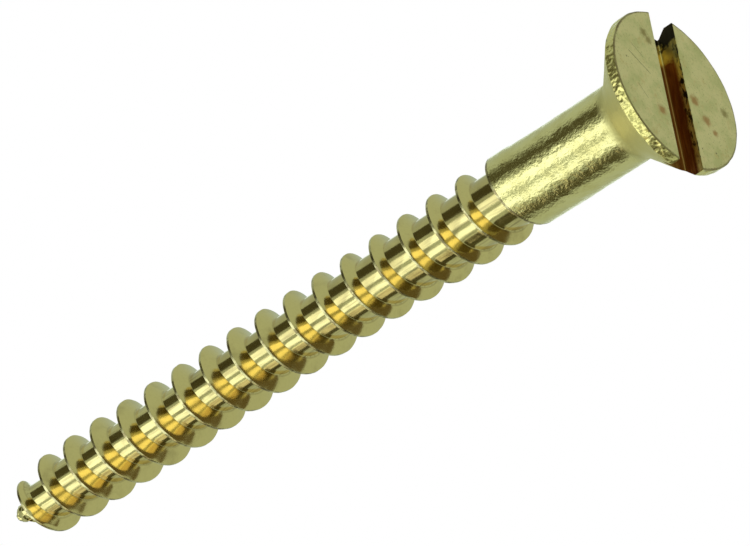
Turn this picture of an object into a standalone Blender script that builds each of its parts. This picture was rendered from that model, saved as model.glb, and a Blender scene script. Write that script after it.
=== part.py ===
"""Slotted countersunk brass wood screw, one solid piece of metal.

The screw hangs head up on the Z axis. The origin is the centre of the head's flat face, which lies
flush with the wood in use, and the point is at z = -LENGTH. The driver slot runs along X.
Units are metres.
"""

import math

import bmesh
import bpy

# Driving dimensions
LENGTH = 0.0500
SHANK_RADIUS = 0.00225
HEAD_RADIUS = 0.00464
PITCH = 0.002175

# Head
RIM_HEIGHT = 0.00064  # upright band between the flat face and the countersink
RIM_ROUNDING = 0.00008
COUNTERSINK_SLOPE = math.radians(45)  # half of the 90 degree countersink
NECK_FILLET_RADIUS = 0.0012
SLOT_WIDTH = 0.00180
SLOT_DEPTH = 0.00112

# Thread: a right-hand groove cut into the blank
CORE_RADIUS = 0.00140
TOP_CORE_RADIUS = 0.00170  # under the last turns
CORE_TAPER = (-0.027, -0.014)  # heights between which the core thickens
CREST_OUTLINE = [  # (height above the tip, radius) of the crests; the last turns stand proud
    (0.00085, 0.00070),
    (0.00124, 0.00125),
    (0.00152, 0.00162),
    (0.00210, 0.00193),
    (0.00265, 0.00210),
    (0.00370, 0.00213),
    (0.00500, 0.00222),
    (0.01000, 0.00226),
    (0.02000, 0.00223),
    (0.02600, 0.00219),
    (0.03000, 0.00222),
    (0.03300, 0.00233),
    (0.03700, 0.00234),
    (0.03900, 0.00230),
]
CREST_WIDTH = 0.00015
FLANK_SLOPE = math.radians(28)  # half of the thread angle
CREST_HEIGHT_AT_SLOT = -0.04547  # height of one crest where it passes under the slot's +X end
FIRST_TURN = -2.75  # counted from that crest; the lowest turns only trim the point
LAST_FULL_TURN = 15.10
RUNOUT_TURNS = 0.52  # the groove gets shallower over this much of a turn, and ends in the shank

# Gimlet point
TIP_RADIUS = 0.00036
TIP_ROUNDING = 0.00012
POINT_CORE_HEIGHT = 0.0038  # height above the tip where the core is full
POINT_BULGE = 0.8  # power of the point's outline, 1 for a straight cone

# Fineness of the surfaces
TURNED_STEPS = 32
GROOVE_STEPS = 32
ARC_POINTS = 4
SHARP_EDGE = math.radians(25)

SHANK_END = CREST_HEIGHT_AT_SLOT + LAST_FULL_TURN * PITCH
CUTTER_CLEARANCE = 0.0006
LIP_CLEARANCE = 0.00001


def clear_scene():
    for obj in list(bpy.data.objects):
        bpy.data.objects.remove(obj, do_unlink=True)


def new_collection(name, hidden=False):
    collection = bpy.data.collections.new(name)
    bpy.context.scene.collection.children.link(collection)
    collection.hide_render = hidden
    return collection


def brass():
    material = bpy.data.materials.new("brass")
    material.use_nodes = True
    shader = material.node_tree.nodes["Principled BSDF"]
    shader.inputs["Base Color"].default_value = (0.68, 0.60, 0.28, 1.0)
    shader.inputs["Metallic"].default_value = 1.0
    shader.inputs["Roughness"].default_value = 0.22
    return material


def arc(centre, radius, start, end, count=ARC_POINTS):
    """Points (radius from axis, height) along an arc, angles in degrees from the +radius direction."""
    points = []
    for i in range(count + 1):
        angle = math.radians(start + (end - start) * i / count)
        points.append((centre[0] + radius * math.cos(angle), centre[1] + radius * math.sin(angle)))
    return points


def head_profile():
    """From the middle of the flat face, over the rim and down the countersink to the shank."""
    rim = HEAD_RADIUS - RIM_ROUNDING
    points = [(0.0, 0.0)]
    points += arc((rim, -RIM_ROUNDING), RIM_ROUNDING, 90, 0)
    points += arc((rim, RIM_ROUNDING - RIM_HEIGHT), RIM_ROUNDING, 0, -45)
    # The fillet is tangent to the countersink cone and to the shank.
    cone_end = -RIM_HEIGHT - (HEAD_RADIUS - SHANK_RADIUS) / math.tan(COUNTERSINK_SLOPE)
    fillet_drop = NECK_FILLET_RADIUS * math.tan(COUNTERSINK_SLOPE / 2)
    centre = (SHANK_RADIUS + NECK_FILLET_RADIUS, cone_end - fillet_drop)
    points += arc(centre, NECK_FILLET_RADIUS, 135, 180)
    return points


def crest_radius(height):
    """Radius of the thread's crests at a height, which falls to the core at the point."""
    for (low, low_radius), (high, high_radius) in zip(CREST_OUTLINE, CREST_OUTLINE[1:]):
        if height + LENGTH <= high:
            share = max(height + LENGTH - low, 0.0) / (high - low)
            return low_radius + (high_radius - low_radius) * share
    return CREST_OUTLINE[-1][1]


def thread_blank_profile():
    """The crests' outline, from the shank's end down to the thread's start on the point."""
    profile = [(SHANK_RADIUS, SHANK_END + PITCH)]
    for above_tip, radius in reversed(CREST_OUTLINE):
        profile.append((radius, above_tip - LENGTH))
    return profile


def smooth_step(share):
    return share * share * (3 - 2 * share)


def core_radius(height):
    """Radius of the metal under the thread: a slight taper, then a bulging cone down to the tip."""
    low, high = CORE_TAPER
    thickening = min(max((height - low) / (high - low), 0.0), 1.0)
    full = CORE_RADIUS + (TOP_CORE_RADIUS - CORE_RADIUS) * thickening
    share = min(max((height + LENGTH) / POINT_CORE_HEIGHT, 0.0), 1.0)
    return TIP_RADIUS + (full - TIP_RADIUS) * share**POINT_BULGE


def point_profile():
    """The bare end of the point, below the thread's start, with its rounded tip."""
    tip = -LENGTH
    middle = CREST_OUTLINE[0][0] / 2 + tip
    rounded = arc((TIP_RADIUS - TIP_ROUNDING, tip + TIP_ROUNDING), TIP_ROUNDING, 0, -90)
    return [(core_radius(middle), middle)] + rounded + [(0.0, tip)]


def turned(name, profile, collection):
    """A solid of revolution about Z. The profile runs down the outer side, top to bottom."""
    mesh = bpy.data.meshes.new(name)
    vertices = [(radius, 0.0, height) for radius, height in profile]
    edges = [(i, i + 1) for i in range(len(profile) - 1)]
    mesh.from_pydata(vertices, edges, [])
    obj = bpy.data.objects.new(name, mesh)
    collection.objects.link(obj)
    screw = obj.modifiers.new("turn", "SCREW")
    screw.axis = "Z"
    screw.angle = math.radians(360)
    screw.steps = TURNED_STEPS
    screw.render_steps = TURNED_STEPS
    screw.use_merge_vertices = True
    screw.merge_threshold = 1e-6
    return obj


def groove_section(turn):
    """Corners (radius, height) of the groove: flat root, 60 degree flanks, then upright sides.

    The flanks end at the crests below and above, and the upright sides keep the crests' width.
    At the run-out the tool is drawn out of the metal, so the groove gets shallower and narrower.
    """
    middle = CREST_HEIGHT_AT_SLOT + (turn + 0.5) * PITCH
    half_width = (PITCH - CREST_WIDTH) / 2
    withdrawn = min(max((turn - LAST_FULL_TURN) / RUNOUT_TURNS, 0.0), 1.0)
    full_root = core_radius(middle)
    top_crest = CREST_OUTLINE[-1][1]
    root = full_root + (top_crest - full_root) * smooth_step(withdrawn)
    corners = []
    for side in (-1, 1):
        lip = max(crest_radius(middle + side * PITCH / 2), full_root) + LIP_CLEARANCE
        root_half_width = half_width - (lip - full_root) * math.tan(FLANK_SLOPE)
        lip_half_width = root_half_width + (lip - root) * math.tan(FLANK_SLOPE)
        corners.append([
            (root, middle + side * root_half_width),
            (lip, middle + side * lip_half_width),
            (top_crest + CUTTER_CLEARANCE, middle + side * lip_half_width),
        ])
    below, above = corners
    return below[::-1] + above


def groove_cutter(collection):
    """The path of the thread tool: one section after another along the helix, joined into a solid."""
    work = bmesh.new()
    last_turn = LAST_FULL_TURN + RUNOUT_TURNS
    count = round((last_turn - FIRST_TURN) * GROOVE_STEPS)
    rings = []
    for i in range(count + 1):
        turn = FIRST_TURN + (i + 0.5) / GROOVE_STEPS
        angle = 2 * math.pi * turn
        ring = []
        for radius, height in groove_section(turn):
            place = (radius * math.cos(angle), radius * math.sin(angle), height)
            ring.append(work.verts.new(place))
        rings.append(ring)
    for lower, upper in zip(rings, rings[1:]):
        for j in range(len(lower)):
            k = (j + 1) % len(lower)
            work.faces.new((lower[j], lower[k], upper[k], upper[j]))
    work.faces.new(rings[0])
    work.faces.new(rings[-1])
    bmesh.ops.recalc_face_normals(work, faces=work.faces)
    bmesh.ops.triangulate(work, faces=work.faces)
    mesh = bpy.data.meshes.new("thread_groove")
    work.to_mesh(mesh)
    work.free()
    obj = bpy.data.objects.new("thread_groove", mesh)
    collection.objects.link(obj)
    return obj


def slot_cutter(collection):
    """A block across the whole head, from above its face down to the slot's floor."""
    height = 2 * SLOT_DEPTH
    size = (3 * HEAD_RADIUS, SLOT_WIDTH, height)
    work = bmesh.new()
    bmesh.ops.create_cube(work, size=1.0)
    bmesh.ops.scale(work, vec=size, verts=work.verts)
    bmesh.ops.translate(work, vec=(0.0, 0.0, height / 2 - SLOT_DEPTH), verts=work.verts)
    mesh = bpy.data.meshes.new("driver_slot")
    work.to_mesh(mesh)
    work.free()
    obj = bpy.data.objects.new("driver_slot", mesh)
    collection.objects.link(obj)
    return obj


def cut(obj, cutter):
    cutter.hide_render = True
    cutter.display_type = "WIRE"
    boolean = obj.modifiers.new(cutter.name, "BOOLEAN")
    boolean.operation = "DIFFERENCE"
    boolean.solver = "EXACT"
    boolean.object = cutter


def keep_shape(obj):
    """Makes the cut shape the object's own mesh, smooth on its round surfaces and crisp at its edges."""
    graph = bpy.context.evaluated_depsgraph_get()
    mesh = bpy.data.meshes.new_from_object(obj.evaluated_get(graph))
    obj.modifiers.clear()
    obj.data = mesh
    mesh.shade_smooth()
    mesh.set_sharp_from_angle(angle=SHARP_EDGE)


def main():
    clear_scene()
    parts = new_collection("wood_screw")
    cutters = new_collection("cutters", hidden=True)
    profile = head_profile() + thread_blank_profile() + point_profile()
    wood_screw = turned("wood_screw", profile, parts)
    cut(wood_screw, groove_cutter(cutters))
    cut(wood_screw, slot_cutter(cutters))
    keep_shape(wood_screw)
    wood_screw.data.materials.append(brass())


main()
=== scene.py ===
"""Looks of a slotted countersunk brass wood screw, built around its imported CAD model.

The screw stands head up on the Z axis, with the origin in the middle of the head's flat face and the
driver slot along X. The fine screw replaces the CAD node. It is one closed mesh whose rows run along the
helix of the thread, so the crests are clean. Dents and a slight bow are worked into the mesh, and a
Boolean cuts the slot. Units are metres.
"""

import math

import bmesh
import bpy
from mathutils import Matrix, Vector, noise


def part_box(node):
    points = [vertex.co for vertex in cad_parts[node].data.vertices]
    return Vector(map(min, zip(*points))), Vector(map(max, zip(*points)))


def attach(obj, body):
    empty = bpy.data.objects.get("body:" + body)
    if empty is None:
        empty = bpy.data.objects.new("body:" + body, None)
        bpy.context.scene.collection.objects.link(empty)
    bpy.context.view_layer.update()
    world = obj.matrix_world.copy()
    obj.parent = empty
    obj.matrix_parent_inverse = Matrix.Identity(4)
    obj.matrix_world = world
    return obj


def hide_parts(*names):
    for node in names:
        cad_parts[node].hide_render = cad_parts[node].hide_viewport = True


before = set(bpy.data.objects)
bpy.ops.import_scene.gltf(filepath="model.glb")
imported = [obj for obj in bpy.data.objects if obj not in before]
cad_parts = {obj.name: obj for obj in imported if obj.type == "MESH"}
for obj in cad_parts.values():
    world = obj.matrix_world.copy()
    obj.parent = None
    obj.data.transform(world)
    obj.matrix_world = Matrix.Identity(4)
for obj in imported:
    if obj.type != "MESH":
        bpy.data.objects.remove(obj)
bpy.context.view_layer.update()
LOW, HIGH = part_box("wood_screw")

# Head, shank and slot
LENGTH = HIGH.z - LOW.z
HEAD_RADIUS = HIGH.y
SHANK_RADIUS = 0.00225
RIM_HEIGHT = 0.00064
RIM_ROUNDING = 0.00007
COUNTERSINK_SLOPE = math.radians(45)
NECK_FILLET_RADIUS = 0.0012
SLOT_WIDTH = 0.00180
SLOT_DEPTH = 0.00112
SLOT_LIP = 0.00004  # rounding of the slot's upper edges
SLOT_FOOT = 0.00010  # rounding where the slot's walls meet its floor
SLOT_OVERRUN = 1.5  # how far the cutter reaches, in head radii

# Thread
PITCH = 0.002175
CORE_RADIUS = 0.00140
TOP_CORE_RADIUS = 0.00170
CORE_TAPER = (-0.027, -0.014)  # heights between which the core thickens
CREST_OUTLINE = [  # (height above the tip, radius) of the crests
    (0.00085, 0.00070),
    (0.00124, 0.00125),
    (0.00152, 0.00162),
    (0.00210, 0.00193),
    (0.00265, 0.00210),
    (0.00370, 0.00213),
    (0.00500, 0.00222),
    (0.01000, 0.00226),
    (0.02000, 0.00223),
    (0.02600, 0.00219),
    (0.03000, 0.00222),
    (0.03300, 0.00233),
    (0.03700, 0.00234),
    (0.03900, 0.00230),
]
CREST_WIDTH = 0.00015
CREST_ROUNDING = 0.00005
CREST_EASE = 0.6  # how far down the flank the crest's rounding reaches, as a share of it
ROOT_FILLET = 0.00002
FLANK_SLOPE = math.radians(28)
FIRST_CREST_HEIGHT = -0.04547  # on the +X side, where turn 0 starts
LAST_FULL_TURN = 15.10
RUNOUT_TURNS = 0.52  # the last groove gets shallower over this many turns
SPARE_TURNS = 1.3  # the thread's grid goes on this far up the plain shank
SHANK_LIP_HEIGHT = 0.00025  # the top crest stands proud of the shank over this height
THREAD_START = -LENGTH + 0.00080
THREAD_END = FIRST_CREST_HEIGHT + (LAST_FULL_TURN + RUNOUT_TURNS + SPARE_TURNS) * PITCH

# Point
TIP_RADIUS = 0.00036
TIP_ROUNDING = 0.00014
POINT_CORE_HEIGHT = 0.0038
POINT_BULGE = 0.8

# Fineness
COLUMNS = 162
FLANK_ROWS = 4
ROOT_ROWS = 3
SHANK_ROW_HEIGHT = 0.00008
NECK_ROWS = 12
CONE_ROWS = 18
RIM_ROWS = 8
TIP_ROWS = 8
EDGE_ROWS = 4
SLOT_EDGE_ROWS = 5
FACE_RINGS = (0.97, 0.9, 0.7, 0.4, 0.1)  # shares of the face's radius
TIP_RINGS = (0.3, 0.55)  # shares of the tip's radius
SHARP_ANGLE = math.radians(35)
WELD_DISTANCE = 1e-8
TOUCH = 1e-6  # a face this near to a surface counts as part of it

# Dents: (size, greatest depth)
SHANK_DENTS = [(0.00060, 0.000022), (0.00026, 0.000010)]
RIM_DENTS = [(0.00080, 0.000035), (0.00036, 0.000016)]
CREST_NICKS = [(0.00050, 0.000018)]
TIP_DENTS = [(0.00035, 0.00010), (0.00016, 0.00003)]
DENT_COVER = 0.2  # the higher, the more of the surface is dented
DENT_FADE = 0.0003  # the shank's dents fade in over this height
RIM_DENT_START = 0.98  # share of the face's radius from which the rim's dents begin

# The wire is slightly bowed: (height, how far the axis is aside), towards BOW_AZIMUTH
BOW = [
    (-0.0360, 0.0),
    (-0.0330, 0.00003),
    (-0.0290, 0.00005),
    (-0.0240, 0.000065),
    (-0.0165, 0.00005),
    (-0.0100, 0.00004),
    (-0.0077, 0.0),
]
BOW_AZIMUTH = math.radians(-142)

# Camera
CAMERA_ELEVATION = 32.9  # degrees, as the two below
CAMERA_AZIMUTH = -52.1
CAMERA_ROLL = 33.1
CAMERA_DISTANCE = 144.65 * PITCH
CAMERA_LENS = 284.6
CAMERA_SENSOR = 36.0
CAMERA_CLIP = 0.01
CAMERA_AIM_HEIGHT = -9.85 * PITCH
CAMERA_AIM_ASIDE = -0.264 * PITCH

# Colours, as linear values
BRASS = (0.93, 0.77, 0.33)
DULL_BRASS = (0.85, 0.69, 0.27)
CORE_BRASS = (0.86, 0.68, 0.28)
FLANK_BRASS = (0.89, 0.69, 0.27)
CREST_BRASS = (0.80, 0.66, 0.32)
CONE_BRASS = (0.72, 0.60, 0.23)
RIM_BRASS = (0.95, 0.77, 0.27)
FACE_BRASS = (0.97, 0.77, 0.36)
FACE_GREEN = (0.80, 0.68, 0.29)
FACE_TAN = (0.82, 0.58, 0.22)
# Dark brown for tarnish and dirt, and also for the painted shade along each groove's foot
TARNISH_AND_SHADE = (0.16, 0.09, 0.03)
RED_STAIN = (0.55, 0.25, 0.07)
OLIVE_STAIN = (0.40, 0.28, 0.08)
SLOT_BROWN = (0.25, 0.075, 0.02)
SLOT_RED = (0.42, 0.17, 0.04)
# Painted light: the amber on the slot's floor
SLOT_LIT_AMBER = (0.70, 0.46, 0.13)
# Painted light: the yellow patch in the slot
SLOT_LIT_GOLD = (0.98, 0.72, 0.20)
# Painted shadow: the black patch at the slot's far end; this black also makes the dark specks along the
# slot's lips
SLOT_BLACK = (0.045, 0.032, 0.02)
SLOT_OLIVE = (0.98, 0.82, 0.30)

# Marks on the face: (x, y, radius)
RED_SPOTS = [
    (0.00173, -0.00151, 0.00042),
    (0.00013, 0.00140, 0.00046),
    (0.00113, 0.00206, 0.00044),
    (0.00174, 0.00259, 0.00030),
]
OLIVE_SPOTS = [
    (0.00009, 0.00375, 0.00040),
    (-0.00294, -0.00173, 0.00040),
    (-0.00258, -0.00145, 0.00036),
]
DARK_DOTS = [
    (0.00316, 0.00119, 0.00008),
    (0.00307, 0.00230, 0.00008),
    (-0.00082, -0.00358, 0.00007),
]
SCRATCHES = [  # (start x, start y, end x, end y, width)
    (-0.00133, -0.00337, -0.00034, -0.00187, 0.000035),
    (-0.00190, -0.00300, -0.00120, -0.00215, 0.000022),
    (0.00060, -0.00310, 0.00140, -0.00245, 0.000020),
]
SCRATCH_WAVER = 0.0001  # how far a scratch strays from straight
WORN_EDGE = (HEAD_RADIUS - 0.00010, HEAD_RADIUS - 0.00001)  # radii between which the face darkens

# Marks on the other surfaces
CONE_TOP = (-0.0037, -0.0030)  # heights between which the shank's brass turns into the cone's
FLANK_START = (0.000004, 0.00003)  # distances from the core over which its brass turns into the flank's
FOOT_SHADE_START = (0.000004, 0.00001)  # painted shade: the brown line along each groove's foot, from the core outwards
FOOT_SHADE_END = (0.00005, 0.00011)
SHADOW_END = -0.00345  # painted shadow: the black patch runs from the slot's far end to here
SHADOW_FADE = 0.0001
LIT_PATCH_END = -0.00250  # painted light: the yellow patch runs on from it to here
LIT_PATCH_FADE = 0.0003
FLOOR_LIGHT_RISE = 0.00018  # painted light: the amber on the slot's floor fades up the walls over this height
LIP_STRIP = 0.00038  # depth of the speckled strip along the slot's lips
STRIP_FADE = 0.0006

# Studio
ROOM = (0.41, 0.51, 0.46)
WHITE = (1.0, 1.0, 1.0)
DARK = (0.065, 0.068, 0.035)
CEILING = (0.10, 0.085, 0.035)
WARM = (1.08, 1.12, 0.92)
LIGHT = (0.98, 1.15, 1.30)
FLOOR_HEIGHT = -0.35
FLOOR_SIZE = 3.0
BACKDROP_RADIUS = 1.2
BACKDROP_SEGMENTS = 48
MIDDLE = -LENGTH / 2
FAR = 0.25
NEAR = 0.06
# Azimuths are counted from the camera's, and distances from the point of the axis at the aim height.
SOFT_BOXES = [  # (name, azimuth, elevation, distance, aim height, width, height, brightness, colour)
    ("left_box", -25, -38, FAR, MIDDLE, 0.105, 0.30, 1.0, LIGHT),
    ("right_box", 16, -38, FAR, MIDDLE, 0.085, 0.30, 0.95, LIGHT),
    ("warm_box", 50, 0, NEAR, -0.074, 0.028, 0.043, 0.6, WARM),
    ("back_box", 180, -36, FAR, MIDDLE, 0.20, 0.09, 0.5, LIGHT),
]
DARK_CARDS = [  # (name, azimuth, elevation, width, height, colour)
    ("left_card", -72, -15, 0.16, 0.45, DARK),
    ("right_card", 62, -15, 0.16, 0.45, DARK),
    ("ceiling", 0, 90, 0.17, 0.17, CEILING),
    ("high_card", 108, 63, 0.06, 0.06, CEILING),
]


def between(low, high, share):
    return low + (high - low) * share


def clamped(value):
    return min(max(value, 0.0), 1.0)


def smooth_step(share):
    share = clamped(share)
    return share * share * (3 - 2 * share)


def arc(centre, radius, start, end, count):
    """Points (radius from axis, height) along an arc, angles in degrees from the +radius direction."""
    points = []
    for i in range(count + 1):
        angle = math.radians(between(start, end, i / count))
        points.append((centre[0] + radius * math.cos(angle), centre[1] + radius * math.sin(angle)))
    return points


def straight(start, end, count):
    """The points between two (radius, height) points, without the two themselves."""
    shares = [i / count for i in range(1, count)]
    return [tuple(between(a, b, share) for a, b in zip(start, end)) for share in shares]


def direction(elevation, azimuth):
    """The unit vector at these angles, in degrees."""
    lift = math.radians(elevation)
    turn = math.radians(azimuth)
    return Vector((math.cos(lift) * math.cos(turn), math.cos(lift) * math.sin(turn), math.sin(lift)))


def finished_mesh(work, name):
    mesh = bpy.data.meshes.new(name)
    work.to_mesh(mesh)
    work.free()
    return mesh


def placed_object(name, data):
    obj = bpy.data.objects.new(name, data)
    bpy.context.scene.collection.objects.link(obj)
    return obj


# Shape of the thread


def crest_radius(height):
    for (low, low_radius), (high, high_radius) in zip(CREST_OUTLINE, CREST_OUTLINE[1:]):
        if height + LENGTH <= high:
            share = max(height + LENGTH - low, 0.0) / (high - low)
            return between(low_radius, high_radius, share)
    top = -LENGTH + CREST_OUTLINE[-1][0]
    return between(CREST_OUTLINE[-1][1], SHANK_RADIUS, clamped((height - top) / SHANK_LIP_HEIGHT))


def core_radius(height):
    low, high = CORE_TAPER
    full = between(CORE_RADIUS, TOP_CORE_RADIUS, clamped((height - low) / (high - low)))
    share = clamped((height + LENGTH) / POINT_CORE_HEIGHT)
    return TIP_RADIUS + (full - TIP_RADIUS) * share**POINT_BULGE


def half_section(crest_height, side, turn):
    """Points (radius, height) from the middle of a crest to the middle of the groove on one side."""
    full_root = core_radius(crest_height + side * PITCH / 2)
    lip = max(crest_radius(crest_height), full_root)
    withdrawn = smooth_step((turn - LAST_FULL_TURN) / RUNOUT_TURNS)
    top = max(lip, SHANK_RADIUS)
    root = min(full_root + (top - full_root) * withdrawn, lip)
    depth = lip - root
    slope = math.tan(FLANK_SLOPE)
    half_crest = CREST_WIDTH / 2
    foot = half_crest + (lip - full_root) * slope - (root - full_root) * slope
    largest_rounding = depth / 3
    ease = min(CREST_ROUNDING * CREST_EASE, largest_rounding)
    fillet = min(ROOT_FILLET, largest_rounding)
    crest_middle = (lip, 0.0)
    crest_edge = (lip, half_crest - CREST_ROUNDING / 2)
    crest_bend = (lip - ease * 0.3, half_crest + ease * 0.1)
    flank_start = (lip - ease, half_crest + ease * slope)
    flank_end = (root + fillet, foot - fillet * slope)
    foot_bend = (root + fillet * 0.36, foot - fillet * slope * 0.15)
    groove_bend = (root + fillet * 0.06, foot + fillet * 0.35)
    groove_edge = (root, foot + fillet * 0.8)
    groove_middle = (root, PITCH / 2)
    points = [crest_middle, crest_edge, crest_bend, flank_start]
    points += straight(flank_start, flank_end, FLANK_ROWS)
    points += [flank_end, foot_bend, groove_bend, groove_edge]
    points += straight(groove_edge, groove_middle, ROOT_ROWS)
    points.append(groove_middle)
    return [(radius, crest_height + side * offset) for radius, offset in points]


def thread_section(turn):
    """Points (radius, height) of one pitch of the thread, from one crest to just below the next."""
    lower_crest = FIRST_CREST_HEIGHT + turn * PITCH
    below = half_section(lower_crest, 1, turn)
    above = half_section(lower_crest + PITCH, -1, turn)
    return below + above[-2:0:-1]


def thread_columns():
    """For each column round the axis, its points up the thread. Rows past either end fold onto that end."""
    first = math.floor((THREAD_START - FIRST_CREST_HEIGHT) / PITCH) - 1
    last = math.ceil((THREAD_END - FIRST_CREST_HEIGHT) / PITCH) + 1
    columns = []
    for i in range(COLUMNS):
        points = []
        for whole in range(first, last):
            for radius, height in thread_section(whole + i / COLUMNS):
                if height <= THREAD_START:
                    points.append((core_radius(THREAD_START), THREAD_START))
                elif height >= THREAD_END:
                    points.append((SHANK_RADIUS, THREAD_END))
                else:
                    points.append((radius, height))
        columns.append(points)
    return columns


# Shape of the rest


def head_rows():
    """Points (radius, height) from the thread's end up the shank, neck and countersink to the face."""
    face_radius = HEAD_RADIUS - RIM_ROUNDING
    cone_end = -RIM_HEIGHT - (HEAD_RADIUS - SHANK_RADIUS) / math.tan(COUNTERSINK_SLOPE)
    neck_height = cone_end - NECK_FILLET_RADIUS * math.tan(COUNTERSINK_SLOPE / 2)
    count = round((neck_height - THREAD_END) / SHANK_ROW_HEIGHT)
    rows = [(SHANK_RADIUS, between(THREAD_END, neck_height, i / count)) for i in range(count)]
    neck = arc((SHANK_RADIUS + NECK_FILLET_RADIUS, neck_height), NECK_FILLET_RADIUS, 180, 135, NECK_ROWS)
    lower_edge = arc((face_radius, RIM_ROUNDING - RIM_HEIGHT), RIM_ROUNDING, -45, 0, EDGE_ROWS)
    rows += neck + straight(neck[-1], lower_edge[0], CONE_ROWS) + lower_edge
    rows += straight(lower_edge[-1], (HEAD_RADIUS, -RIM_ROUNDING), RIM_ROWS)
    rows += arc((face_radius, -RIM_ROUNDING), RIM_ROUNDING, 0, 90, EDGE_ROWS)
    return rows + [(face_radius * share, 0.0) for share in FACE_RINGS]


def tip_rows():
    """Points (radius, height) from the point's end up to the thread's start."""
    rows = [(TIP_RADIUS * share, -LENGTH) for share in TIP_RINGS]
    rounding_top = -LENGTH + TIP_ROUNDING
    rows += arc((TIP_RADIUS - TIP_ROUNDING, rounding_top), TIP_ROUNDING, -75, 0, EDGE_ROWS)
    for i in range(1, TIP_ROWS + 1):
        height = between(rounding_top, THREAD_START, i / TIP_ROWS)
        rows.append((core_radius(height), height))
    return rows


def add_grid(work, columns, rise=0):
    """Quads between neighbouring columns of points, where the last column joins the first, rise rows up."""
    made = []
    for i, points in enumerate(columns):
        angle = 2 * math.pi * i / COLUMNS
        x = math.cos(angle)
        y = math.sin(angle)
        made.append([work.verts.new((radius * x, radius * y, height)) for radius, height in points])
    for i, here in enumerate(made):
        there = made[(i + 1) % COLUMNS]
        shift = rise if i == COLUMNS - 1 else 0
        for j in range(len(here) - 1 - shift):
            work.faces.new((here[j], there[j + shift], there[j + 1 + shift], here[j + 1]))
    return made


def screw_mesh():
    """The whole screw without its slot, one closed mesh."""
    work = bmesh.new()
    tip = add_grid(work, [tip_rows()] * COLUMNS)
    add_grid(work, thread_columns(), rise=len(thread_section(0.0)))
    head = add_grid(work, [head_rows()] * COLUMNS)
    work.faces.new([column[0] for column in reversed(tip)])
    work.faces.new([column[-1] for column in head])
    bmesh.ops.remove_doubles(work, verts=work.verts, dist=WELD_DISTANCE)
    return finished_mesh(work, "wood_screw_fine")


def slot_outline():
    """Points (y, height) round the slot's section: rounded foot, upright walls, rounded lips."""
    half = SLOT_WIDTH / 2
    side = arc((half - SLOT_FOOT, SLOT_FOOT - SLOT_DEPTH), SLOT_FOOT, -90, 0, SLOT_EDGE_ROWS)
    side += arc((half + SLOT_LIP, -SLOT_LIP), SLOT_LIP, 180, 90, SLOT_EDGE_ROWS)
    side.append((half + SLOT_LIP, SLOT_DEPTH))
    return side + [(-y, height) for y, height in reversed(side)]


def slot_cutter():
    work = bmesh.new()
    reach = SLOT_OVERRUN * HEAD_RADIUS
    near, far = ([work.verts.new((x, *point)) for point in slot_outline()] for x in (-reach, reach))
    for i in range(len(near)):
        j = (i + 1) % len(near)
        work.faces.new((near[i], near[j], far[j], far[i]))
    work.faces.new(near)
    work.faces.new(far)
    bmesh.ops.recalc_face_normals(work, faces=work.faces)
    return placed_object("slot_cutter", finished_mesh(work, "slot_cutter"))


def cut_slot(screw):
    cutter = slot_cutter()
    boolean = screw.modifiers.new("slot", "BOOLEAN")
    boolean.operation = "DIFFERENCE"
    boolean.solver = "EXACT"
    boolean.object = cutter
    graph = bpy.context.evaluated_depsgraph_get()
    mesh = bpy.data.meshes.new_from_object(screw.evaluated_get(graph))
    screw.modifiers.clear()
    screw.data = mesh
    bpy.data.objects.remove(cutter)


def dent_depth(place, dents):
    return sum(depth * clamped(DENT_COVER + noise.noise(place / size)) for size, depth in dents)


def peen(mesh):
    """Shallow dents, all inward: on the shank and cone, round the rim, in the crests and at the tip."""
    rim_start = RIM_DENT_START * (HEAD_RADIUS - RIM_ROUNDING)
    for vertex in mesh.vertices:
        place = vertex.co.copy()
        radius = place.xy.length
        depth = 0.0
        if place.z > -RIM_HEIGHT:
            if radius > rim_start:
                depth = dent_depth(place, RIM_DENTS)
        elif place.z > THREAD_END:
            depth = dent_depth(place, SHANK_DENTS) * clamped((place.z - THREAD_END) / DENT_FADE)
        elif place.z < THREAD_START:
            depth = min(dent_depth(place, TIP_DENTS), radius / 2)
        elif radius > crest_radius(place.z) - CREST_ROUNDING:
            depth = dent_depth(place, CREST_NICKS)
        if depth > 0:
            vertex.co.xy = place.xy * (1 - depth / radius)


def bow(mesh):
    """Shifts the mesh aside along the wire's slight bow."""
    way = Vector((math.cos(BOW_AZIMUTH), math.sin(BOW_AZIMUTH), 0.0))
    for vertex in mesh.vertices:
        for (low, low_shift), (high, high_shift) in zip(BOW, BOW[1:]):
            if low < vertex.co.z <= high:
                share = (vertex.co.z - low) / (high - low)
                vertex.co += way * between(low_shift, high_shift, share)
                break


def make_screw():
    mesh = screw_mesh()
    peen(mesh)
    bow(mesh)
    screw = placed_object("wood_screw_fine", mesh)
    cut_slot(screw)
    screw.data.shade_smooth()
    screw.data.set_sharp_from_angle(angle=SHARP_ANGLE)
    return screw


# Camera


def make_camera():
    """A long lens that looks down on the head, with the screw slanting across the picture."""
    azimuth = math.radians(CAMERA_AZIMUTH)
    roll = math.radians(CAMERA_ROLL)
    back = direction(CAMERA_ELEVATION, CAMERA_AZIMUTH)
    level = Vector((-math.sin(azimuth), math.cos(azimuth), 0.0))
    upright = back.cross(level)
    right = math.cos(roll) * upright + math.sin(roll) * level
    up = math.sin(roll) * upright - math.cos(roll) * level
    aim = Vector((0.0, 0.0, CAMERA_AIM_HEIGHT)) + CAMERA_AIM_ASIDE * level
    camera_data = bpy.data.cameras.new("camera")
    camera_data.lens = CAMERA_LENS
    camera_data.sensor_width = CAMERA_SENSOR
    camera_data.clip_start = CAMERA_CLIP
    camera = placed_object("camera", camera_data)
    rotation = Matrix((right, up, back)).transposed().to_4x4()
    camera.matrix_world = Matrix.Translation(aim + back * CAMERA_DISTANCE) @ rotation
    bpy.context.scene.camera = camera


# Materials


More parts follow.
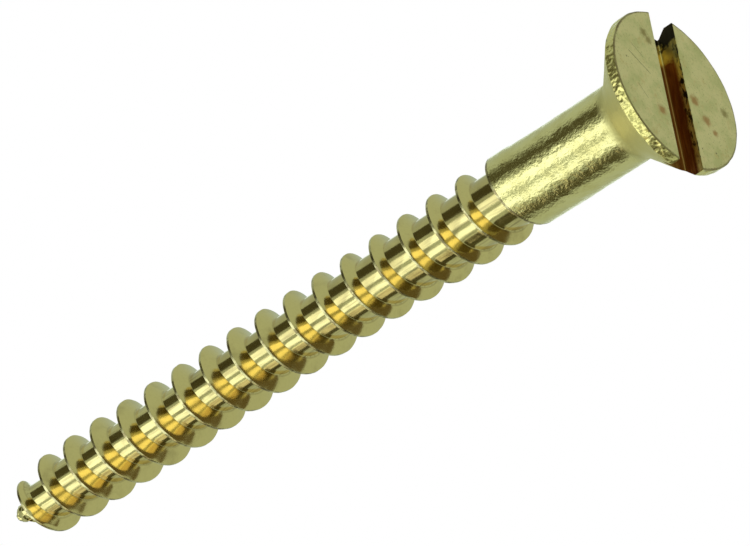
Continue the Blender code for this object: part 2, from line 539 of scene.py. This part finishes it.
class Nodes:
    """Short calls for building a material's nodes."""

    def __init__(self, name):
        self.material = bpy.data.materials.new(name)
        self.material.use_nodes = True
        self.tree = self.material.node_tree
        self.shader = self.tree.nodes["Principled BSDF"]

    def link(self, source, target):
        if hasattr(source, "outputs"):
            source = source.outputs[0]
        self.tree.links.new(source, target)

    def add(self, kind, inputs=None, **settings):
        node = self.tree.nodes.new("ShaderNode" + kind)
        for key, value in settings.items():
            setattr(node, key, value)
        for key, value in (inputs or {}).items():
            if hasattr(value, "outputs") or isinstance(value, bpy.types.NodeSocket):
                self.link(value, node.inputs[key])
            else:
                node.inputs[key].default_value = value
        return node

    def math(self, operation, *values):
        return self.add("Math", dict(enumerate(values)), operation=operation)

    def product(self, first, second):
        return self.math("MULTIPLY", first, second)

    def position(self):
        return self.add("TexCoord").outputs["Object"]

    def part_of(self, vector, axis):
        return self.add("SeparateXYZ", {0: vector}).outputs[axis]

    def coordinate(self, axis):
        return self.part_of(self.position(), axis)

    def stretched(self, x, y, z):
        """The point's position, scaled along each axis: a small scale makes a pattern long that way."""
        inputs = {0: self.position(), 1: (x, y, z)}
        return self.add("VectorMath", inputs, operation="MULTIPLY").outputs[0]

    def radius(self):
        """The point's distance from the Z axis."""
        inputs = {0: self.stretched(1.0, 1.0, 0.0)}
        return self.add("VectorMath", inputs, operation="LENGTH").outputs["Value"]

    def noise(self, size, detail=3.0, roughness=0.55, where=None):
        """Noise from 0 to 1 whose patches are about size metres across."""
        place = self.position() if where is None else where
        inputs = {"Vector": place, "Scale": 1 / size, "Detail": detail, "Roughness": roughness}
        return self.add("TexNoise", inputs).outputs["Fac"]

    def ramp(self, value, span, results=(0.0, 1.0), curve="SMOOTHSTEP"):
        """The first result up to the span's start, the second from its end on, and a curve between."""
        inputs = {"Value": value, "From Min": span[0], "From Max": span[1]}
        inputs |= {"To Min": results[0], "To Max": results[1]}
        return self.add("MapRange", inputs, interpolation_type=curve).outputs[0]

    def mix(self, share, first, second):
        """A blend of two colours, from the first at share 0 to the second at share 1."""
        node = self.add("Mix", data_type="RGBA")
        sockets = {socket.name: socket for socket in node.inputs if socket.enabled}
        self.link(share, sockets["Factor"])
        for key, color in (("A", first), ("B", second)):
            if isinstance(color, tuple):
                sockets[key].default_value = (*color, 1.0)
            else:
                self.link(color, sockets[key])
        return next(socket for socket in node.outputs if socket.enabled)

    def greatest(self, masks):
        """The greatest of several masks at each point."""
        total = masks[0]
        for mask in masks[1:]:
            total = self.math("MAXIMUM", total, mask)
        return total

    def spots(self, places, wobble):
        """1 in the middle of each (x, y, radius) spot on the face, falling to 0 at its ragged edge."""
        ragged = self.noise(wobble)
        masks = []
        for x, y, radius in places:
            inputs = {0: self.position(), 1: (x, y, 0.0)}
            distance = self.add("VectorMath", inputs, operation="DISTANCE").outputs["Value"]
            share = self.math("ADD", self.math("DIVIDE", distance, radius), ragged)
            masks.append(self.ramp(share, (0.7, 1.5), (1.0, 0.0)))
        return self.greatest(masks)

    def strokes(self, lines):
        """1 along each straight (start x, start y, end x, end y, width) scratch, and 0 elsewhere."""
        x = self.coordinate("X")
        y = self.coordinate("Y")
        waver = self.product(self.math("SUBTRACT", self.noise(0.0006), 0.5), SCRATCH_WAVER)
        masks = []
        for start_x, start_y, end_x, end_y, width in lines:
            length = math.hypot(end_x - start_x, end_y - start_y)
            way_x = (end_x - start_x) / length
            way_y = (end_y - start_y) / length
            from_x = self.math("SUBTRACT", x, start_x)
            from_y = self.math("SUBTRACT", y, start_y)
            along = self.math("ADD", self.product(from_x, way_x), self.product(from_y, way_y))
            across = self.math("SUBTRACT", self.product(from_x, way_y), self.product(from_y, way_x))
            from_line = self.math("ABSOLUTE", self.math("ADD", across, waver))
            from_middle = self.math("ABSOLUTE", self.math("SUBTRACT", along, length / 2))
            narrow = self.ramp(from_line, (width * 0.4, width), (1.0, 0.0))
            ended = self.ramp(from_middle, (length * 0.42, length * 0.5), (1.0, 0.0))
            masks.append(self.product(narrow, ended))
        return self.greatest(masks)

    def finish(self, color, roughness, bump, bump_height):
        self.shader.inputs["Metallic"].default_value = 1.0
        self.link(color, self.shader.inputs["Base Color"])
        self.link(roughness, self.shader.inputs["Roughness"])
        inputs = {"Height": bump, "Strength": 1.0, "Distance": bump_height}
        self.link(self.add("Bump", inputs), self.shader.inputs["Normal"])
        return self.material


def above_core(n):
    """How far the point is outside the thread's core."""
    core = n.ramp(n.coordinate("Z"), CORE_TAPER, (CORE_RADIUS, TOP_CORE_RADIUS), curve="LINEAR")
    return n.math("SUBTRACT", n.radius(), core)


def on_crest(n):
    """1 on the thread's narrow crests, where the surface is steep and near the crest's helix."""
    turn = n.math("DIVIDE", n.math("ARCTAN2", n.coordinate("Y"), n.coordinate("X")), 2 * math.pi)
    pitches = n.math("DIVIDE", n.math("SUBTRACT", n.coordinate("Z"), FIRST_CREST_HEIGHT), PITCH)
    phase = n.math("FRACT", n.math("SUBTRACT", pitches, turn))
    from_groove = n.math("ABSOLUTE", n.math("SUBTRACT", phase, 0.5))
    width = CREST_WIDTH / PITCH
    near_helix = n.ramp(from_groove, (0.5 - width, 0.5 - 0.6 * width))
    tilt = n.math("ABSOLUTE", n.part_of(n.add("TexCoord").outputs["Normal"], "Z"))
    return n.product(n.ramp(tilt, (0.3, 0.6), (1.0, 0.0)), near_helix)


def thread_brass():
    """Bright cut metal: dull floor, mirror flanks, worn crests and a brown line of painted shade along each
    foot.
    """
    n = Nodes("thread_brass")
    above = above_core(n)
    crest = on_crest(n)
    flank = n.ramp(above, FLANK_START)
    # Painted shade: a thin dark band along each groove's foot, where the flank meets the core
    foot = n.product(n.ramp(above, FOOT_SHADE_START), n.ramp(above, FOOT_SHADE_END, (1.0, 0.0)))
    smears = n.noise(0.0012, detail=4.0)
    streaks = n.ramp(n.noise(0.00014, where=n.stretched(1.0, 1.0, 0.08)), (0.42, 0.70))
    nicks = n.ramp(n.noise(0.0004, detail=4.0), (0.46, 0.60), (0.0, 0.65))
    color = n.mix(flank, CORE_BRASS, FLANK_BRASS)
    color = n.mix(crest, color, CREST_BRASS)
    color = n.mix(n.product(streaks, n.ramp(flank, (0.0, 1.0), (0.40, 0.05))), color, TARNISH_AND_SHADE)
    color = n.mix(n.product(crest, nicks), color, TARNISH_AND_SHADE)
    color = n.mix(n.ramp(smears, (0.50, 0.85), (0.0, 0.35)), color, TARNISH_AND_SHADE)
    # the painted shade along the foot, darker where the smears are
    color = n.mix(n.product(foot, n.ramp(smears, (0.25, 0.5), (0.05, 0.25))), color, TARNISH_AND_SHADE)
    roughness = n.math("ADD", n.ramp(smears, (0.3, 0.8), (0.10, 0.18)), n.product(crest, 0.14))
    return n.finish(color, roughness, n.noise(0.00012, detail=2.0), bump_height=0.0000012)


def shank_brass():
    """Drawn wire, finely peened all over; the cone under the head is duller."""
    n = Nodes("shank_brass")
    patches = n.noise(0.0009, detail=4.0)
    cone = n.ramp(n.coordinate("Z"), CONE_TOP)
    color = n.mix(n.ramp(patches, (0.35, 0.75)), BRASS, DULL_BRASS)
    color = n.mix(n.product(cone, 0.8), color, CONE_BRASS)
    roughness = n.math("ADD", n.ramp(patches, (0.3, 0.8), (0.15, 0.24)), n.product(cone, 0.34))
    return n.finish(color, roughness, n.noise(0.00018), bump_height=0.000026)


def face_brass():
    """The flat face: dulled brass with brown stains, dots, scratches and a dark worn edge."""
    n = Nodes("face_brass")
    clouds = n.noise(0.0016, detail=6.0, roughness=0.65)
    flecks = n.noise(0.0009, detail=6.0, roughness=0.7, where=n.stretched(1.0, 1.3, 7.0))
    grain = n.noise(0.00013)
    color = n.mix(n.ramp(clouds, (0.40, 0.62)), FACE_BRASS, FACE_GREEN)
    color = n.mix(n.ramp(flecks, (0.52, 0.70), (0.0, 0.7)), color, FACE_TAN)
    color = n.mix(n.ramp(grain, (0.56, 0.76), (0.0, 0.6)), color, OLIVE_STAIN)
    color = n.mix(n.product(n.spots(RED_SPOTS, 0.0002), 0.85), color, RED_STAIN)
    color = n.mix(n.product(n.spots(OLIVE_SPOTS, 0.00018), 0.85), color, OLIVE_STAIN)
    color = n.mix(n.product(n.spots(DARK_DOTS, 0.0001), 0.8), color, TARNISH_AND_SHADE)
    color = n.mix(n.product(n.strokes(SCRATCHES), 0.6), color, TARNISH_AND_SHADE)
    worn = n.ramp(n.math("ADD", n.radius(), n.product(grain, 0.00012)), WORN_EDGE)
    color = n.mix(n.product(worn, n.ramp(clouds, (0.35, 0.6), (0.9, 0.5))), color, TARNISH_AND_SHADE)
    roughness = n.ramp(clouds, (0.3, 0.7), (0.34, 0.46))
    return n.finish(color, roughness, flecks, bump_height=0.000006)


def rim_brass():
    """The upright band round the head, hammered and bright, with dirt in its hollows."""
    n = Nodes("rim_brass")
    patches = n.noise(0.00045, detail=4.0)
    hammered = n.noise(0.00046, detail=1.5)
    color = n.mix(n.ramp(patches, (0.4, 0.8)), RIM_BRASS, DULL_BRASS)
    color = n.mix(n.ramp(hammered, (0.30, 0.42), (0.5, 0.0)), color, TARNISH_AND_SHADE)
    roughness = n.ramp(patches, (0.3, 0.8), (0.24, 0.36))
    return n.finish(color, roughness, hammered, bump_height=0.00017)


def slot_brass():
    """Inside of the slot: brown tarnish with streaks along it, painted light on its floor, and near its far
    end a yellow patch of painted light and a black patch of painted shadow.
    """
    n = Nodes("slot_brass")
    height = n.coordinate("Z")
    streaks = n.noise(0.00022, detail=5.0, where=n.stretched(0.12, 1.0, 1.0))
    speckle = n.noise(0.00016, detail=4.0, where=n.stretched(0.35, 1.0, 1.0))
    ragged = n.product(n.math("SUBTRACT", n.noise(0.0005, detail=4.0), 0.5), 0.0012)
    along = n.math("ADD", n.coordinate("X"), ragged)
    # Painted light: amber on the slot's floor, fading up its walls
    floor = n.ramp(height, (-SLOT_DEPTH, FLOOR_LIGHT_RISE - SLOT_DEPTH), (0.5, 0.0))
    # Painted light: a yellow patch in the slot, next to the painted shadow
    painted_light = n.ramp(along, (LIT_PATCH_END - LIT_PATCH_FADE, LIT_PATCH_END + LIT_PATCH_FADE), (0.95, 0.0))
    # Painted shadow: a black patch at the slot's far end
    painted_shadow = n.ramp(along, (SHADOW_END - SHADOW_FADE, SHADOW_END + SHADOW_FADE), (0.97, 0.0))
    near_lip = n.ramp(n.math("ADD", height, n.product(ragged, 0.25)), (-LIP_STRIP * 1.2, -LIP_STRIP * 0.5))
    strip = n.product(near_lip, n.ramp(along, (SHADOW_END, SHADOW_END + STRIP_FADE)))
    color = n.mix(n.ramp(streaks, (0.40, 0.68)), SLOT_BROWN, SLOT_RED)
    color = n.mix(floor, color, SLOT_LIT_AMBER)
    color = n.mix(painted_light, color, SLOT_LIT_GOLD)
    color = n.mix(painted_shadow, color, SLOT_BLACK)
    color = n.mix(strip, color, n.mix(n.ramp(speckle, (0.38, 0.54)), SLOT_BLACK, SLOT_OLIVE))
    roughness = n.ramp(streaks, (0.3, 0.8), (0.32, 0.50))
    return n.finish(color, roughness, streaks, bump_height=0.00001)


MATERIALS = [thread_brass, shank_brass, face_brass, rim_brass, slot_brass]


def shank_edge_height(point):
    """Height of the top crest, where the shank starts, on this point's side of the screw."""
    turn = math.atan2(point.y, point.x) / (2 * math.pi)
    whole = math.floor(LAST_FULL_TURN + RUNOUT_TURNS - turn) + 1
    return FIRST_CREST_HEIGHT + (whole + turn) * PITCH


def region(centre, normal):
    """Which of MATERIALS a face takes, from where it lies."""
    within_slot = abs(centre.y) < (SLOT_WIDTH + SLOT_LIP) / 2 and centre.xy.length < HEAD_RADIUS - TOUCH
    runs_along_slot = abs(normal.x) < 0.5
    if within_slot and runs_along_slot and -SLOT_DEPTH - TOUCH < centre.z < -TOUCH:
        return slot_brass
    if centre.z > -RIM_ROUNDING / 2:
        return face_brass
    if centre.z > -RIM_HEIGHT:
        return rim_brass
    if centre.z > min(THREAD_END, shank_edge_height(centre) + CREST_WIDTH):
        return shank_brass
    return thread_brass


def paint(screw):
    for make_material in MATERIALS:
        screw.data.materials.append(make_material())
    for face in screw.data.polygons:
        face.material_index = MATERIALS.index(region(face.center, face.normal))


# Studio


def face_screw(obj, azimuth, elevation, distance, aim_height=MIDDLE):
    """Puts a light or card at a distance from the axis, facing it. The azimuth counts from the camera's."""
    way = direction(elevation, CAMERA_AZIMUTH + azimuth)
    obj.location = Vector((0.0, 0.0, aim_height)) + way * distance
    obj.rotation_mode = "QUATERNION"
    obj.rotation_quaternion = way.to_track_quat("Z", "Y")


def soft_box(name, azimuth, elevation, distance, aim_height, width, height, brightness, color):
    """A rectangular light whose surface has this brightness, where a white sheet has 1."""
    light = bpy.data.lights.new(name, "AREA")
    light.shape = "RECTANGLE"
    light.size = width
    light.size_y = height
    light.energy = brightness * math.pi * width * height
    light.color = color
    obj = placed_object(name, light)
    face_screw(obj, azimuth, elevation, distance, aim_height)
    obj.visible_camera = False


def glowing(name, color):
    material = bpy.data.materials.new(name)
    material.use_nodes = True
    tree = material.node_tree
    tree.nodes.clear()
    output = tree.nodes.new("ShaderNodeOutputMaterial")
    glow = tree.nodes.new("ShaderNodeEmission")
    glow.inputs["Color"].default_value = (*color, 1.0)
    tree.links.new(glow.outputs[0], output.inputs["Surface"])
    return material


def stage_piece(name, work, color):
    """An evenly bright piece of the studio."""
    mesh = finished_mesh(work, name)
    mesh.materials.append(glowing(name, color))
    obj = placed_object(name, mesh)
    return obj


def plane(name, width, height, color):
    work = bmesh.new()
    bmesh.ops.create_grid(work, x_segments=1, y_segments=1, size=0.5)
    bmesh.ops.scale(work, vec=(width, height, 1.0), verts=work.verts)
    return stage_piece(name, work, color)


def dark_card(name, azimuth, elevation, width, height, color):
    """A card that shows only in the screw's reflections."""
    card = plane(name, width, height, color)
    face_screw(card, azimuth, elevation, FAR)
    card.visible_camera = False
    card.visible_diffuse = False


def dome(name, radius, color):
    work = bmesh.new()
    segments = BACKDROP_SEGMENTS
    bmesh.ops.create_uvsphere(work, u_segments=segments, v_segments=segments // 2, radius=radius)
    return stage_piece(name, work, color)


def make_studio():
    world = bpy.data.worlds.new("room")
    bpy.context.scene.world = world
    world.use_nodes = True
    world.node_tree.nodes["Background"].inputs["Color"].default_value = (*ROOM, 1.0)
    floor = plane("floor", FLOOR_SIZE, FLOOR_SIZE, WHITE)
    floor.location.z = FLOOR_HEIGHT
    backdrop = dome("backdrop", BACKDROP_RADIUS, WHITE)
    for obj in (floor, backdrop):
        obj.visible_glossy = False
        obj.visible_shadow = False
    for box in SOFT_BOXES:
        soft_box(*box)
    for card in DARK_CARDS:
        dark_card(*card)
    bpy.context.scene.view_settings.view_transform = "Standard"


screw = make_screw()
paint(screw)
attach(screw, "root")
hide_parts("wood_screw")
make_camera()
make_studio()
